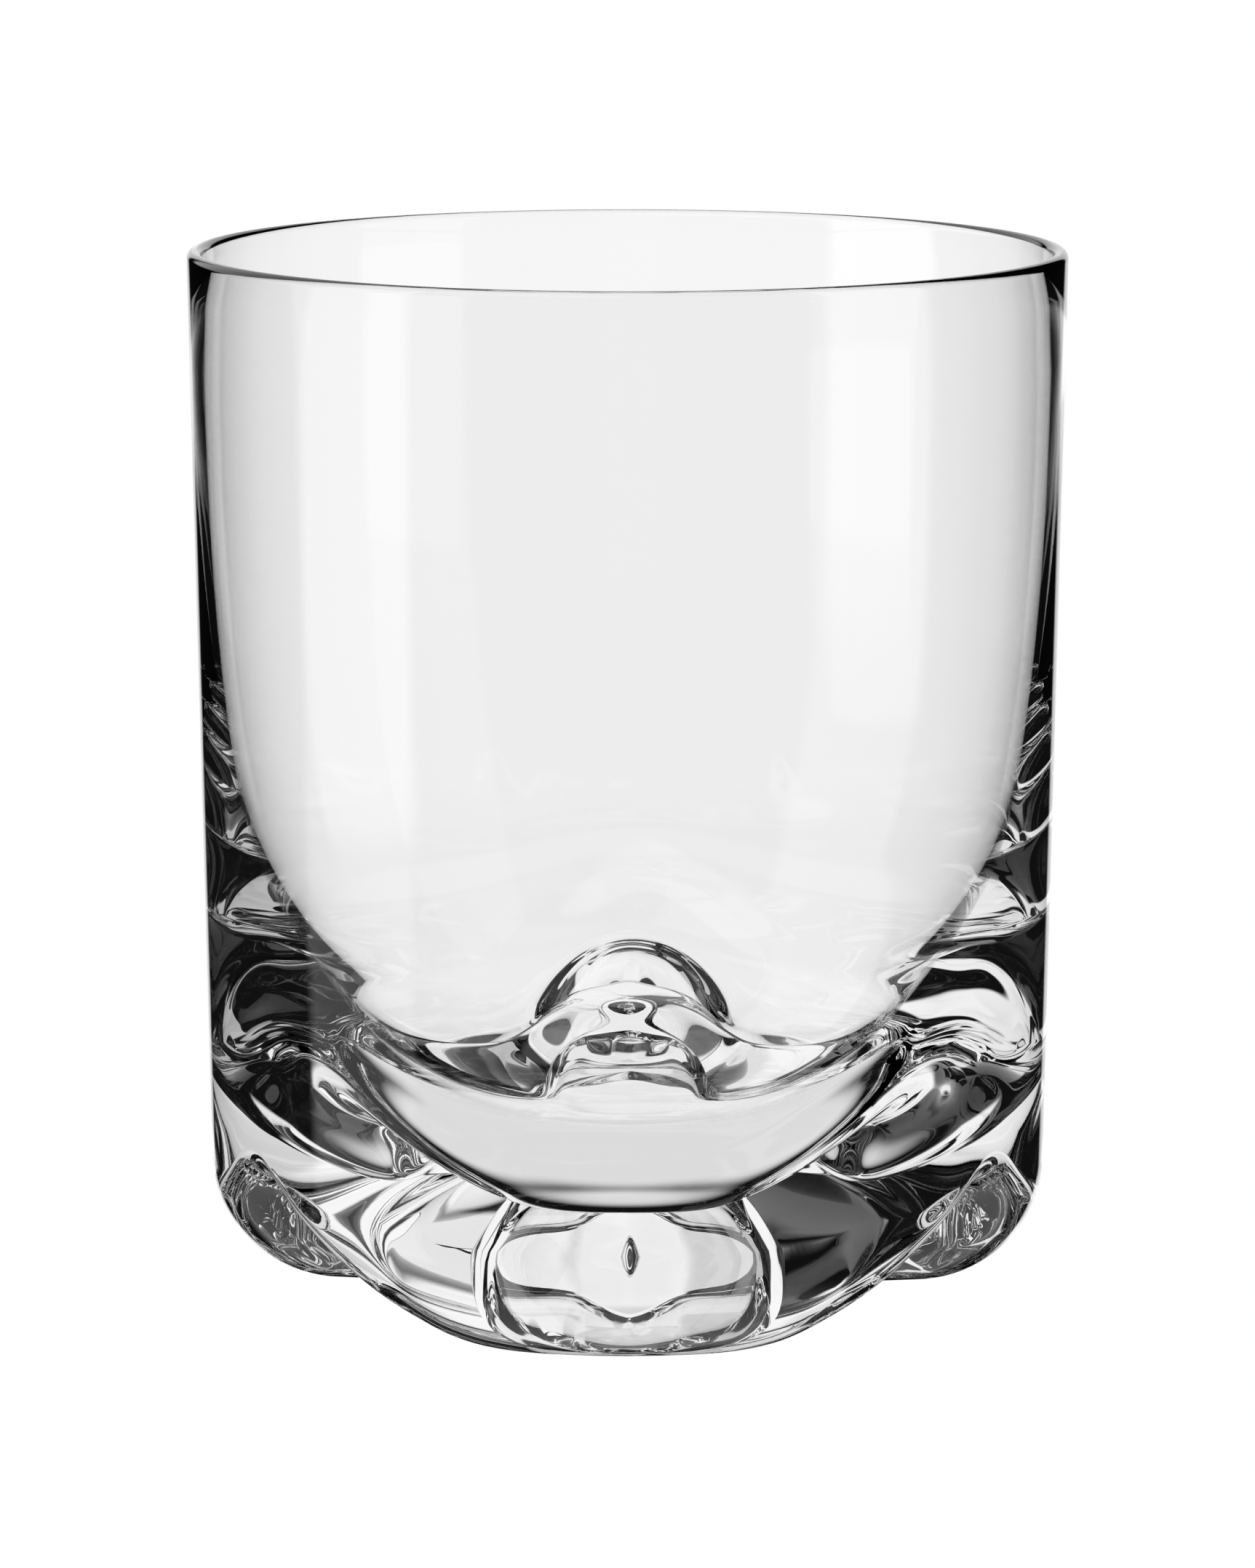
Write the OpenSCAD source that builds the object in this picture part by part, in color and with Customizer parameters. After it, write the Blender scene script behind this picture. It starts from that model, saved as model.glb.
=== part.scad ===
// Whiskey tumbler: one piece of clear glass on three lobed feet.
// Millimetres, +Z up, origin on the axis in the plane that the feet stand on, one foot towards -Y.
//
// The glass has one closed skin. At each angle round the axis a profile runs from the middle of the
// underside, out to the wall, up to the rim, over it, and down the cavity to the middle of the floor.
// Both the underside and the floor rise and fall three times in a turn, so each foot is a lobe
// with a pocket of the cavity above it, and between the feet the base opens into an arch.

/* [Cup] */
// Height from the resting plane to the rim
height = 93.6; // [80:0.2:120]
// Outer diameter just under the rim
rim_d = 77.6; // [73:0.2:79]
// Outer diameter that the tapered wall would reach at the resting plane
base_d = 73.8; // [72.4:0.2:80]
// Wall thickness at the rim
rim_wall = 1.4; // [1:0.1:3]

/* [Feet and arches] */
// Half the angle over which a foot's underside is level
foot_half_angle = 8; // [5:1:24]
// Height of an arch between two feet, at the wall
arch_lip = 13.5; // [8:0.5:16]
// Height of the same arch near the middle of the base
arch_in = 4; // [2:0.5:8]
// Radius that rounds a foot into the wall
foot_round = 11; // [4:0.5:12]
// Radius that rounds the top of an arch into the wall
arch_round = 3; // [1.5:0.5:6]

/* [Bell under the middle] */
// Height of the bell-shaped hollow
bell_h = 14; // [10:0.5:18]
// Radius of the bell, about where its side is steepest
bell_r = 9.5; // [5:0.5:10.5]
// Squareness of the bell's shoulder
bell_power = 4.5; // [2:0.5:6]
// Rise of a foot's underside from its level ring towards the bell
pad_rise = 0.4; // [0:0.1:1]

/* [Cavity] */
// Height of the cavity floor above a foot
pocket_z = 10.5; // [5:0.5:14]
// Height of the cavity floor above an arch
ridge_z = 17.5; // [14:0.5:22]
// Height of the knob in the middle of the floor
knob_z = 21.5; // [21:0.1:30]
// Radius of the knob, about where its side is steepest
knob_r = 10.3; // [9:0.1:13]
// Squareness of the knob's shoulder
knob_power = 4.5; // [3:0.5:10]
// Fullness of the cavity's curve above a foot: 2 is an ellipse, and more is nearer a square corner
pocket_full = 3.3; // [2.6:0.1:3.6]
// Fullness of the cavity's curve above an arch
ridge_full = 4; // [3:0.1:4.4]

/* [Quality] */
// Steps round the axis
turn_steps = 72; // [36:12:84]

/* [Hidden] */

foot_count = 3;
foot_pitch = 360 / foot_count;
half_pitch = foot_pitch / 2;
front = -90;             // the first foot points along -Y
rim_r = rim_d / 2;
base_r = base_d / 2;

arch_in_r = 12;          // the arch starts to rise outwards here
arch_lip_r = 33;         // and has reached its full height here
arch_power = 2;          // how much of the turn is level foot before the arch climbs
round_from = 32;         // angles off a foot between which its rounding turns into the arch's
round_to = 54;
pad_r = 23;              // a foot's underside is level from here outwards

bowl_top = height - rim_wall / 2;
bowl_r = base_r + (rim_r - base_r) * bowl_top / height - rim_wall;
bowl_taper = 0.02;       // share of the cavity's radius that the wall gains by the floor
ridge_power = 2.2;       // how much of the turn is pocket before the ridge climbs
full_power = 2;          // the same for the fullness
bowl_spacing = 3.3;      // fullness of the curve that spaces the cavity's rings
floor_r = bowl_r / 2;    // inside this radius the floor's rings are evenly spaced

under_steps = 18;        // from the middle of the underside to the wall's rounding
round_steps = 6;         // over that rounding
wall_steps = 5;          // up the straight wall
rim_steps = 6;           // over the rim
bowl_steps = 18;         // down the cavity's wall and round its corner
floor_steps = 16;        // from there to the middle of the floor

function clamp(t) = min(1, max(0, t));
function mix(a, b, t) = a + (b - a) * t;

// Rises from 0 to 1 as t does, level at both ends.
function wave(t) = (1 - cos(180 * clamp(t))) / 2;

// Falls from 1 on the axis to 0 far out, the more squarely the higher the power.
function boss(r, reach, power) = exp(-pow(r / reach, power));

// Angle from the nearest foot's middle line, 0 to half a pitch. The whole pitches keep the sum positive.
function off_foot(a) = abs((a - front + half_pitch + 3 * foot_pitch) % foot_pitch - half_pitch);

// 0 under a foot, 1 at the top of an arch.
function arch(a) =
    wave(pow(clamp((off_foot(a) - foot_half_angle) / (half_pitch - foot_half_angle)), arch_power));

// 0 in the middle of a pocket of the cavity, 1 on the ridge over an arch.
function ridge(a) = wave(pow(off_foot(a) / half_pitch, ridge_power));

function wall_r(z) = mix(base_r, rim_r, z / height);

// The underside: a foot with the bell in it, and the arch cut into what that leaves.
function arch_z(r) = mix(arch_in, arch_lip, wave((r - arch_in_r) / (arch_lip_r - arch_in_r)));
function pad_z(r) = pad_rise * wave((pad_r - r) / (pad_r - bell_r));
function foot_z(r) = mix(pad_z(r), bell_h, boss(r, bell_r, bell_power));
function under_z(r, a) = foot_z(r) + (bell_h - foot_z(r)) * arch_z(r) / bell_h * arch(a);

// The cavity's height at u, its radius before the taper: a superellipse as deep as the lobes say.
function full(a) = mix(pocket_full, ridge_full, wave(pow(off_foot(a) / half_pitch, full_power)));
function depth(a) = bowl_top - mix(pocket_z, ridge_z, ridge(a));
function bowl_z(u, a) = bowl_top - depth(a) * pow(1 - pow(clamp(u / bowl_r), full(a)), 1 / full(a));

// A point of the cavity, with the wall thickening downwards and the knob in the middle.
function cavity_point(u, a) =
    let(z = bowl_z(u, a), r = u * (1 - bowl_taper * (bowl_top - z) / bowl_top))
    [r, mix(z, knob_z, boss(r, knob_r, knob_power))];

// Radius of the rounding between the underside and the wall, and the ring where it starts.
function round_r(a) = mix(foot_round, arch_round, wave((off_foot(a) - round_from) / (round_to - round_from)));
function edge_r(a) = wall_r(0) - round_r(a);
function edge_z(a) = under_z(edge_r(a), a);

function underside(a) =
    [for (i = [1:under_steps]) let(r = edge_r(a) * i / under_steps) [r, under_z(r, a)]];

function rounding(a) =
    let(q = round_r(a))
    [for (i = [1:round_steps]) let(t = 90 * i / round_steps, z = edge_z(a) + q - q * cos(t))
        [wall_r(z) - q + q * sin(t), z]];

function wall(a) =
    let(z0 = edge_z(a) + round_r(a), z1 = height - rim_wall / 2)
    [for (i = [1:wall_steps]) let(z = mix(z0, z1, i / wall_steps)) [wall_r(z), z]];

function rim(a) =
    let(q = rim_wall / 2, z1 = height - q)
    [for (i = [1:rim_steps]) let(t = 180 * i / rim_steps) [wall_r(z1) - q + q * cos(t), z1 + q * sin(t)]];

// Down the cavity: even steps of angle round a superellipse, so that the corner gets its share.
function bowl(a) =
    let(t1 = acos(pow(floor_r / bowl_r, bowl_spacing / 2)))
    [for (i = [1:bowl_steps]) cavity_point(bowl_r * pow(cos(t1 * i / bowl_steps), 2 / bowl_spacing), a)];

function middle(a) = [for (i = [1:floor_steps - 1]) cavity_point(floor_r * (1 - i / floor_steps), a)];

function profile(a) = concat(underside(a), rounding(a), wall(a), rim(a), bowl(a), middle(a));

function around(a, p) = [p[0] * cos(a), p[0] * sin(a), p[1]];

module skin() {
    rows = len(profile(0));
    middle_under = turn_steps * rows;
    middle_floor = middle_under + 1;
    points = concat(
        [for (j = [0:turn_steps - 1]) let(a = front + 360 * j / turn_steps)
            for (p = profile(a)) around(a, p)],
        [[0, 0, bell_h], [0, 0, knob_z]]);
    function at(i, j) = (j % turn_steps) * rows + i;
    sides = [for (j = [0:turn_steps - 1], i = [0:rows - 2])
        each [[at(i, j), at(i + 1, j), at(i + 1, j + 1)], [at(i, j), at(i + 1, j + 1), at(i, j + 1)]]];
    under = [for (j = [0:turn_steps - 1]) [middle_under, at(0, j), at(0, j + 1)]];
    over = [for (j = [0:turn_steps - 1]) [middle_floor, at(rows - 1, j + 1), at(rows - 1, j)]];
    polyhedron(points, concat(sides, under, over), convexity = 8);
}

module glass_body() color([0.93, 0.95, 0.95, 0.4]) skin();

glass_body();
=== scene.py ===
import math

import bpy
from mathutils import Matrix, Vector


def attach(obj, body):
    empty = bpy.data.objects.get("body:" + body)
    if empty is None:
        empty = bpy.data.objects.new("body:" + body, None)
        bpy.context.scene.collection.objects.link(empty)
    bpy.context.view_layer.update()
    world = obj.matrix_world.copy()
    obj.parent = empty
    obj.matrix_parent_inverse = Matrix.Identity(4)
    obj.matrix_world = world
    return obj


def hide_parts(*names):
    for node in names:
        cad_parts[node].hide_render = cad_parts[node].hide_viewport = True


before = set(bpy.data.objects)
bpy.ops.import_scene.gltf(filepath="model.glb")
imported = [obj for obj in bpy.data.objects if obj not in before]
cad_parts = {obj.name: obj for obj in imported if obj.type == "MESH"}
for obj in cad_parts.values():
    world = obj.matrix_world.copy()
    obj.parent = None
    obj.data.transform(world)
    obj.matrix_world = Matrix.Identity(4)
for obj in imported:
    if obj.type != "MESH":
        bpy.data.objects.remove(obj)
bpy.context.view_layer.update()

MM = 0.001

# ---- Sizes of the glass, in millimetres and degrees: the same formulas as the part's own source ----

# The cup: outside radii at the two ends, and the wall at the rim.
HEIGHT = 93.6
RIM_R = 38.8
BASE_R = 36.9
RIM_WALL = 1.4

# Three feet, and the arches between them. FRONT is the direction of one foot.
FOOT_PITCH = 120.0
HALF_PITCH = FOOT_PITCH / 2
FRONT = -90.0
FOOT_HALF_ANGLE = 8.0
ARCH_LIP = 13.5
ARCH_IN = 4.0
ARCH_IN_R = 12.0
ARCH_LIP_R = 33.0
ARCH_POWER = 2.0
FOOT_ROUND = 11.0
ARCH_ROUND = 3.0
ROUND_FROM = 32.0
ROUND_TO = 54.0

# The bell-shaped hollow under the middle, and the pads that the feet stand on.
BELL_H = 14.0
BELL_R = 9.5
BELL_POWER = 4.5
PAD_R = 23.0
PAD_RISE = 0.4

# The cavity: three pockets over the feet, ridges over the arches, a knob in the middle.
BOWL_TOP = HEIGHT - RIM_WALL / 2
BOWL_TAPER = 0.02
POCKET_Z = 10.5
RIDGE_Z = 17.5
RIDGE_POWER = 2.2
POCKET_FULL = 3.3
RIDGE_FULL = 4.0
FULL_POWER = 2.0
KNOB_Z = 21.5
KNOB_R = 10.3
KNOB_POWER = 4.5

# How finely the glass is divided: round the axis, and along each stretch of its profile.
TURN_STEPS = 360
UNDER_STEPS = 64
ROUND_STEPS = 20
WALL_STEPS = 24
RIM_STEPS = 12
BOWL_STEPS = 70
MIDDLE_STEPS = 50
BOWL_SPACING = 3.3


def clamp(t):
    return min(1.0, max(0.0, t))


def mix(a, b, t):
    return a + (b - a) * t


def wave(t):
    """Rises from 0 to 1 as t does, level at both ends."""
    return (1 - math.cos(math.pi * clamp(t))) / 2


def boss(r, reach, power):
    """Falls from 1 on the axis to 0 far out, the more squarely the higher the power."""
    return math.exp(-((r / reach) ** power))


def off_foot(a):
    """Angle from the middle of the nearest foot: 0 on a foot, half the pitch on an arch."""
    return abs((a - FRONT + HALF_PITCH) % FOOT_PITCH - HALF_PITCH)


def arch(a):
    """0 under a foot, 1 at the top of an arch."""
    over = off_foot(a) - FOOT_HALF_ANGLE
    return wave(clamp(over / (HALF_PITCH - FOOT_HALF_ANGLE)) ** ARCH_POWER)


def ridge(a):
    """0 in the middle of a pocket of the cavity, 1 on the ridge over an arch."""
    return wave((off_foot(a) / HALF_PITCH) ** RIDGE_POWER)


def wall_r(z):
    return mix(BASE_R, RIM_R, z / HEIGHT)


BOWL_R = wall_r(BOWL_TOP) - RIM_WALL
FLOOR_R = BOWL_R / 2


def under_z(r, a):
    """Height of the underside: foot pads, the bell hollow, and the arches cut through."""
    pad = PAD_RISE * wave((PAD_R - r) / (PAD_R - BELL_R))
    foot = mix(pad, BELL_H, boss(r, BELL_R, BELL_POWER))
    ceiling = mix(ARCH_IN, ARCH_LIP, wave((r - ARCH_IN_R) / (ARCH_LIP_R - ARCH_IN_R)))
    return foot + (BELL_H - foot) * ceiling / BELL_H * arch(a)


def bowl_z(u, a):
    """Height of the cavity at u, its radius before the taper."""
    full = mix(POCKET_FULL, RIDGE_FULL, wave((off_foot(a) / HALF_PITCH) ** FULL_POWER))
    low = mix(POCKET_Z, RIDGE_Z, ridge(a))
    return BOWL_TOP - (BOWL_TOP - low) * (1 - clamp(u / BOWL_R) ** full) ** (1 / full)


def cavity_point(u, a):
    """A point (radius, height) of the cavity, with its taper and the knob."""
    z = bowl_z(u, a)
    r = u * (1 - BOWL_TAPER * (BOWL_TOP - z) / BOWL_TOP)
    return r, mix(z, KNOB_Z, boss(r, KNOB_R, KNOB_POWER))


def round_r(a):
    """Radius of the rounding between the underside and the wall."""
    return mix(FOOT_ROUND, ARCH_ROUND, wave((off_foot(a) - ROUND_FROM) / (ROUND_TO - ROUND_FROM)))


def edge_r(a):
    return wall_r(0) - round_r(a)


def edge_z(a):
    return under_z(edge_r(a), a)


def underside(a):
    edge = edge_r(a)
    radii = [edge * i / UNDER_STEPS for i in range(1, UNDER_STEPS + 1)]
    return [(r, under_z(r, a)) for r in radii]


def rounding(a):
    q, start = round_r(a), edge_z(a)
    points = []
    for i in range(1, ROUND_STEPS + 1):
        t = math.radians(90 * i / ROUND_STEPS)
        z = start + q - q * math.cos(t)
        points.append((wall_r(z) - q + q * math.sin(t), z))
    return points


def wall(a):
    foot_top = edge_z(a) + round_r(a)
    heights = [mix(foot_top, BOWL_TOP, i / WALL_STEPS) for i in range(1, WALL_STEPS + 1)]
    return [(wall_r(z), z) for z in heights]


def rim():
    lip = RIM_WALL / 2
    turns = [math.radians(180 * i / RIM_STEPS) for i in range(1, RIM_STEPS + 1)]
    return [(wall_r(BOWL_TOP) - lip + lip * math.cos(t), BOWL_TOP + lip * math.sin(t)) for t in turns]


def bowl(a):
    """Down the cavity: even steps of angle round a superellipse, so that the corner gets its share."""
    last = math.acos((FLOOR_R / BOWL_R) ** (BOWL_SPACING / 2))
    turns = [last * i / BOWL_STEPS for i in range(1, BOWL_STEPS + 1)]
    return [cavity_point(BOWL_R * math.cos(t) ** (2 / BOWL_SPACING), a) for t in turns]


def middle(a):
    return [cavity_point(FLOOR_R * (1 - i / MIDDLE_STEPS), a) for i in range(1, MIDDLE_STEPS)]


def profile(a):
    """The glass's outline in the direction a, from under the middle round to over it."""
    return underside(a) + rounding(a) + wall(a) + rim() + bowl(a) + middle(a)


def build_glass():
    verts = []
    for j in range(TURN_STEPS):
        a = FRONT + 360 * j / TURN_STEPS
        cos_a, sin_a = math.cos(math.radians(a)), math.sin(math.radians(a))
        verts += [(r * cos_a * MM, r * sin_a * MM, z * MM) for r, z in profile(a)]
    rows = len(verts) // TURN_STEPS
    under_middle = len(verts)
    over_middle = under_middle + 1
    verts += [(0, 0, BELL_H * MM), (0, 0, KNOB_Z * MM)]
    faces = []
    for j in range(TURN_STEPS):
        here, there = j * rows, (j + 1) % TURN_STEPS * rows
        for i in range(rows - 1):
            faces.append((here + i, there + i, there + i + 1, here + i + 1))
        faces.append((under_middle, there, here))
        faces.append((over_middle, here + rows - 1, there + rows - 1))
    mesh = bpy.data.meshes.new("tumbler_glass")
    mesh.from_pydata(verts, [], faces)
    mesh.polygons.foreach_set("use_smooth", [True] * len(mesh.polygons))
    mesh.update()
    piece = bpy.data.objects.new("tumbler_glass", mesh)
    bpy.context.scene.collection.objects.link(piece)
    return piece


# ---- Clear pressed glass: slow ripples left by the mould, a faint haze, a faint grey ----

GLASS_IOR = 1.51
RIPPLE_SCALE = 55.0
RIPPLE_DETAIL = 1.0
RIPPLE_DEPTH = 0.00002
CLOUD_SCALE = 220.0
CLOUD_DETAIL = 4.0
HAZE_FROM = 0.45
HAZE_TO = 0.75
HAZE = 0.012
GREY = 0.90
GREY_DENSITY = 3.0


def noise(nodes, link, place, scale, detail):
    node = nodes.new("ShaderNodeTexNoise")
    node.inputs["Scale"].default_value = scale
    node.inputs["Detail"].default_value = detail
    link(place, node.inputs["Vector"])
    return node.outputs["Fac"]


def glass_material():
    m = bpy.data.materials.new("clear_glass")
    m.use_nodes = True
    nodes, link = m.node_tree.nodes, m.node_tree.links.new
    shader = nodes["Principled BSDF"]
    shader.inputs["Base Color"].default_value = (1, 1, 1, 1)
    shader.inputs["Transmission Weight"].default_value = 1.0
    shader.inputs["IOR"].default_value = GLASS_IOR
    place = nodes.new("ShaderNodeTexCoord").outputs["Object"]

    bump = nodes.new("ShaderNodeBump")
    bump.inputs["Distance"].default_value = RIPPLE_DEPTH
    link(noise(nodes, link, place, RIPPLE_SCALE, RIPPLE_DETAIL), bump.inputs["Height"])
    link(bump.outputs["Normal"], shader.inputs["Normal"])

    haze = nodes.new("ShaderNodeMapRange")
    haze.inputs["From Min"].default_value = HAZE_FROM
    haze.inputs["From Max"].default_value = HAZE_TO
    haze.inputs["To Max"].default_value = HAZE
    link(noise(nodes, link, place, CLOUD_SCALE, CLOUD_DETAIL), haze.inputs["Value"])
    link(haze.outputs["Result"], shader.inputs["Roughness"])

    body = nodes.new("ShaderNodeVolumeAbsorption")
    body.inputs["Color"].default_value = (GREY, GREY, GREY, 1)
    body.inputs["Density"].default_value = GREY_DENSITY
    link(body.outputs["Volume"], nodes["Material Output"].inputs["Volume"])
    return m


glass = build_glass()
glass.data.materials.append(glass_material())
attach(glass, "root")
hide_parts("glass_body")

# ---- Studio: white to the eye, a pale surround for the glass, and five panels round it ----

# Levels of light. Outside the glass the camera sees SWEEP. A ray that has only passed through
# glass sees BELOW or ABOVE, and one that the glass has mirrored sees DIM, or UNDER straight down.
SWEEP = 1.0
BELOW = 0.97
ABOVE = 0.75
UNDER = 0.78
DIM = 0.005

# Heights of direction between which one level turns into the other: 0 is level, -1 straight down.
HORIZON = (-0.03, 0.12)
STRAIGHT_DOWN = (-0.90, -0.70)

# Panels: level, distance from the origin in metres, and how much of a side its edge fades over.
FULL_LEVEL = 1.0
RIGHT_LEVEL = 0.55
FAR = 2.0
NEAR = 1.8
SOFT_EDGE = 0.12
CRISP_EDGE = 0.03
FLOOR_SIZE = 6.0


def glow(name, level, edge=0.0):
    """A light of one level, which fades out over its outer edge, a share of its size."""
    m = bpy.data.materials.new(name)
    m.use_nodes = True
    nodes, link = m.node_tree.nodes, m.node_tree.links.new
    nodes.clear()
    light = nodes.new("ShaderNodeEmission")
    light.inputs["Strength"].default_value = level
    out = nodes.new("ShaderNodeOutputMaterial")
    if not edge:
        link(light.outputs[0], out.inputs["Surface"])
        return m
    place = nodes.new("ShaderNodeTexCoord")
    split = nodes.new("ShaderNodeSeparateXYZ")
    link(place.outputs["Generated"], split.inputs[0])
    both = nodes.new("ShaderNodeMath")
    both.operation = "MULTIPLY"
    for i, axis in enumerate("XY"):
        fold = nodes.new("ShaderNodeMath")
        fold.operation = "PINGPONG"
        fold.inputs[1].default_value = 0.5
        link(split.outputs[axis], fold.inputs[0])
        fade = nodes.new("ShaderNodeMapRange")
        fade.interpolation_type = "SMOOTHSTEP"
        fade.inputs["From Max"].default_value = edge
        link(fold.outputs[0], fade.inputs["Value"])
        link(fade.outputs["Result"], both.inputs[i])
    clear = nodes.new("ShaderNodeBsdfTransparent")
    mixed = nodes.new("ShaderNodeMixShader")
    link(both.outputs[0], mixed.inputs["Fac"])
    link(clear.outputs[0], mixed.inputs[1])
    link(light.outputs[0], mixed.inputs[2])
    link(mixed.outputs[0], out.inputs["Surface"])
    return m


def sheet(name, width, height, material):
    x, y = width / 2, height / 2
    mesh = bpy.data.meshes.new(name)
    mesh.from_pydata([(-x, -y, 0), (x, -y, 0), (x, y, 0), (-x, y, 0)], [], [(0, 1, 2, 3)])
    mesh.materials.append(material)
    ob = bpy.data.objects.new(name, mesh)
    bpy.context.scene.collection.objects.link(ob)
    return ob


def panel(name, azimuth, elevation, wide, tall, level=FULL_LEVEL, distance=FAR, edge=SOFT_EDGE):
    """A soft light that faces the origin, with its place and its size in degrees.

    Azimuth 0 is behind the glass and 90 is on its right.
    """
    a, e = math.radians(azimuth), math.radians(elevation)
    way = Vector((math.sin(a) * math.cos(e), math.cos(a) * math.cos(e), math.sin(e)))
    size = [2 * distance * math.tan(math.radians(angle / 2)) for angle in (wide, tall)]
    ob = sheet(name, *size, glow(name, level, edge))
    ob.location = way * distance
    ob.rotation_euler = way.to_track_quat("-Z", "Y").to_euler()
    ob.visible_camera = False
    ob.visible_shadow = False


# Only the camera sees the floor. The glass is lit through it, by the surround below.
floor = sheet("floor", FLOOR_SIZE, FLOOR_SIZE, glow("floor_white", SWEEP))
floor.visible_transmission = False
floor.visible_glossy = False
floor.visible_shadow = False

panel("panel_back", azimuth=0, elevation=8, wide=40, tall=62)
panel("panel_high_left", azimuth=-60, elevation=34, wide=80, tall=60)
panel("panel_left", azimuth=-104, elevation=10, wide=42, tall=90, distance=NEAR)
panel("panel_front_left", azimuth=-150, elevation=50, wide=50, tall=30)
panel("panel_right", azimuth=115, elevation=21, wide=36, tall=60,
      level=RIGHT_LEVEL, distance=NEAR, edge=CRISP_EDGE)


def by_height(nodes, link, height, span, below, above):
    """A level that goes smoothly from below to above over a span of heights."""
    rise = nodes.new("ShaderNodeMapRange")
    rise.interpolation_type = "SMOOTHSTEP"
    rise.inputs["From Min"].default_value = span[0]
    rise.inputs["From Max"].default_value = span[1]
    rise.inputs["To Min"].default_value = below
    rise.inputs["To Max"].default_value = above
    link(height, rise.inputs["Value"])
    return rise.outputs["Result"]


def studio_world():
    world = bpy.data.worlds.new("studio")
    world.use_nodes = True
    nodes, link = world.node_tree.nodes, world.node_tree.links.new
    way = nodes.new("ShaderNodeTexCoord")
    split = nodes.new("ShaderNodeSeparateXYZ")
    link(way.outputs["Generated"], split.inputs[0])
    height = split.outputs["Z"]
    path = nodes.new("ShaderNodeLightPath")
    mirrored = nodes.new("ShaderNodeMapRange")
    link(path.outputs["Glossy Depth"], mirrored.inputs["Value"])
    link(by_height(nodes, link, height, HORIZON, BELOW, ABOVE), mirrored.inputs["To Min"])
    link(by_height(nodes, link, height, STRAIGHT_DOWN, UNDER, DIM), mirrored.inputs["To Max"])
    level = nodes.new("ShaderNodeMapRange")
    level.inputs["To Max"].default_value = SWEEP
    link(path.outputs["Is Camera Ray"], level.inputs["Value"])
    link(mirrored.outputs["Result"], level.inputs["To Min"])
    link(level.outputs["Result"], nodes["Background"].inputs["Strength"])
    nodes["Background"].inputs["Color"].default_value = (1, 1, 1, 1)
    return world


# ---- Camera: distance in metres, angles in degrees, heights in millimetres ----

DISTANCE = 0.720
ELEVATION = 9.2
AZIMUTH = 1.2
TARGET_Z = 45.8
VIEW_H = 139.547    # what the frame's height takes in at the target
SENSOR_H = 24.0


def build_camera():
    camera = bpy.data.cameras.new("camera")
    ob = bpy.data.objects.new("camera", camera)
    bpy.context.scene.collection.objects.link(ob)
    target = Vector((0, 0, TARGET_Z * MM))
    tilt, turn = math.radians(ELEVATION), math.radians(AZIMUTH)
    back = Vector((math.sin(turn) * math.cos(tilt), -math.cos(turn) * math.cos(tilt), math.sin(tilt)))
    ob.location = target + DISTANCE * back
    ob.rotation_euler = (target - ob.location).to_track_quat("-Z", "Y").to_euler()
    camera.sensor_fit = "VERTICAL"
    camera.sensor_height = SENSOR_H
    camera.lens = SENSOR_H * DISTANCE / (VIEW_H * MM)
    return ob


# A ray is turned many times in a thick base before it leaves.
GLASS_BOUNCES = 32
OTHER_BOUNCES = 16

scene = bpy.context.scene
scene.world = studio_world()
scene.camera = build_camera()
scene.view_settings.view_transform = "Standard"
scene.cycles.max_bounces = GLASS_BOUNCES
scene.cycles.transmission_bounces = GLASS_BOUNCES
scene.cycles.glossy_bounces = OTHER_BOUNCES
scene.cycles.transparent_max_bounces = OTHER_BOUNCES
